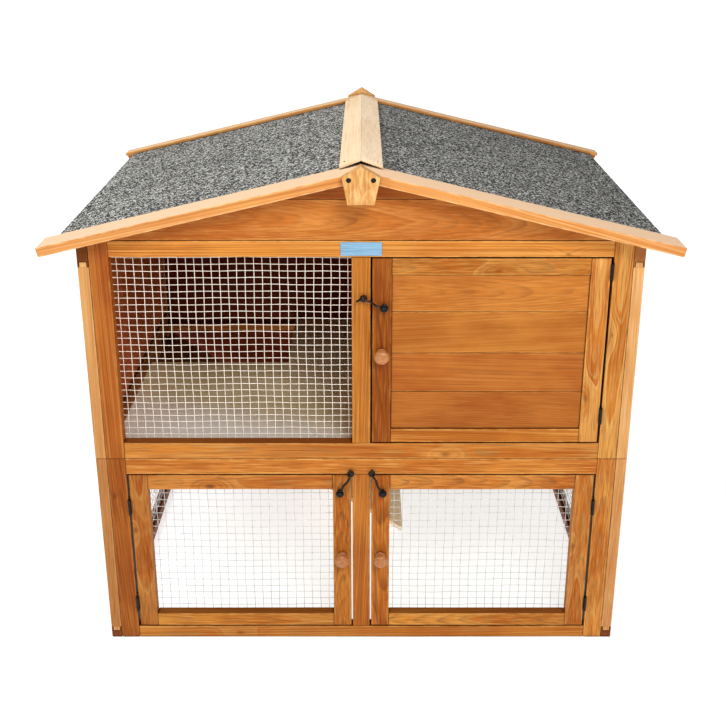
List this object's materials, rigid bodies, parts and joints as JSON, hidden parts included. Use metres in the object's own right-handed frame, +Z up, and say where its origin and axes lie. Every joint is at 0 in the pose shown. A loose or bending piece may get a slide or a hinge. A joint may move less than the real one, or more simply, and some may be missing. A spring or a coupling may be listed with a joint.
{
  "type": "rabbit hutch",
  "caption": "Two-storey timber rabbit hutch with a gabled felt roof, a mesh-fronted room beside a boarded nest room, a mesh ground run, hinged doors with hook latches and a hinged ramp.",
  "frame": {"origin": "bottom centre of the whole hutch, on the ground", "axes": "+X to the right seen from the front, along the roof span; +Y to the back, along the ridge; +Z up"},
  "size_m": [0.92, 0.691, 0.806],
  "materials": {
    "stained_frame": "honey-brown stained softwood, satin",
    "stained_boards": "honey-brown stained boards, satin",
    "trim_wood": "lighter stained softwood, satin",
    "pale_wood": "bare planed fir, matt",
    "turned_wood": "turned beech, lightly stained",
    "roof_board": "raw roof boards",
    "floor_sheet": "boards faced with a pale wipe-clean sheet",
    "roofing_felt": "mineral-surfaced bitumen felt",
    "galvanised_wire": "galvanised welded wire",
    "black_wire": "black painted wire",
    "black_steel": "black painted steel",
    "blank_plate": "plain pale blue plate with no lettering"
  },
  "bodies": {
    "hutch": {"deck_bearers": "stained_frame", "floor_deck": "floor_sheet", "frame_hinge_leaves": "black_steel", "front_gable_boards": "stained_boards", "front_trims": "trim_wood", "front_window_mesh": "galvanised_wire", "hinge_pins": "black_steel", "label_plate": "blank_plate", "latch_eyes": "black_wire", "lower_back_boards": "stained_boards", "lower_back_frame": "stained_frame", "lower_front_bottom_rail": "stained_frame", "lower_front_mid_stile": "stained_frame", "lower_front_post_left": "stained_frame", "lower_front_post_right": "stained_frame", "lower_front_top_rail": "stained_frame", "lower_left_side_frame": "stained_frame", "lower_left_side_mesh": "galvanised_wire", "lower_right_side_frame": "stained_frame", "lower_right_side_mesh": "galvanised_wire", "partition_wall": "stained_boards", "rear_gable_boards": "stained_boards", "rear_trims": "trim_wood", "ridge_block_front": "trim_wood", "ridge_block_rear": "trim_wood", "ridge_cap": "pale_wood", "ridge_screws": "black_steel", "roof_felt_left": "roofing_felt", "roof_felt_right": "roofing_felt", "roof_panel_left": "roof_board", "roof_panel_right": "roof_board", "upper_back_boards": "stained_boards", "upper_back_frame": "stained_frame", "upper_front_bottom_rail": "stained_frame", "upper_front_mid_stile": "stained_frame", "upper_front_post_left": "stained_frame", "upper_front_post_right": "stained_frame", "upper_front_top_rail": "stained_frame", "upper_left_side_boards": "stained_boards", "upper_left_side_frame": "stained_frame", "upper_right_side_boards": "stained_boards", "upper_right_side_frame": "stained_frame"},
    "upper_door": {"upper_door_boards": "stained_boards", "upper_door_fittings": "black_steel", "upper_door_frame": "stained_frame", "upper_door_knob": "turned_wood"},
    "upper_door_hook": {"upper_door_hook": "black_wire"},
    "lower_left_door": {"lower_left_door_fittings": "black_steel", "lower_left_door_frame": "stained_frame", "lower_left_door_knob": "turned_wood", "lower_left_door_mesh": "galvanised_wire"},
    "lower_left_door_hook": {"lower_left_door_hook": "black_wire"},
    "lower_right_door": {"lower_right_door_fittings": "black_steel", "lower_right_door_frame": "stained_frame", "lower_right_door_knob": "turned_wood", "lower_right_door_mesh": "galvanised_wire"},
    "lower_right_door_hook": {"lower_right_door_hook": "black_wire"},
    "ramp": {"ramp_board": "pale_wood", "ramp_hinge_leaves": "black_steel", "ramp_rungs": "pale_wood"}
  },
  "joints": [
    {"name": "upper_door_hinge", "type": "hinge", "parent": "hutch", "child": "upper_door", "pos_m": [0.3655, -0.2931, 0.5095], "axis": [0, 0, 1], "range_deg": [0, 170]},
    {"name": "lower_left_door_hinge", "type": "hinge", "parent": "hutch", "child": "lower_left_door", "pos_m": [-0.3655, -0.2931, 0.1635], "axis": [0, 0, -1], "range_deg": [0, 170]},
    {"name": "lower_right_door_hinge", "type": "hinge", "parent": "hutch", "child": "lower_right_door", "pos_m": [0.3655, -0.2931, 0.1635], "axis": [0, 0, 1], "range_deg": [0, 170]},
    {"name": "upper_hook_swing", "type": "hinge", "parent": "upper_door", "child": "upper_door_hook", "pos_m": [0.0335, -0.2997, 0.5845], "axis": [0, 1, 0], "range_deg": [0, 245]},
    {"name": "lower_left_hook_swing", "type": "hinge", "parent": "lower_left_door", "child": "lower_left_door_hook", "pos_m": [-0.0335, -0.2997, 0.2755], "axis": [0, -1, 0], "range_deg": [0, 207]},
    {"name": "lower_right_hook_swing", "type": "hinge", "parent": "lower_right_door", "child": "lower_right_door_hook", "pos_m": [0.0335, -0.2997, 0.2755], "axis": [0, 1, 0], "range_deg": [0, 207]},
    {"name": "ramp_hinge", "type": "hinge", "parent": "hutch", "child": "ramp", "pos_m": [-0.3925, 0.1535, 0.326], "axis": [0, -1, 0], "range_deg": [0, 34]}
  ]
}
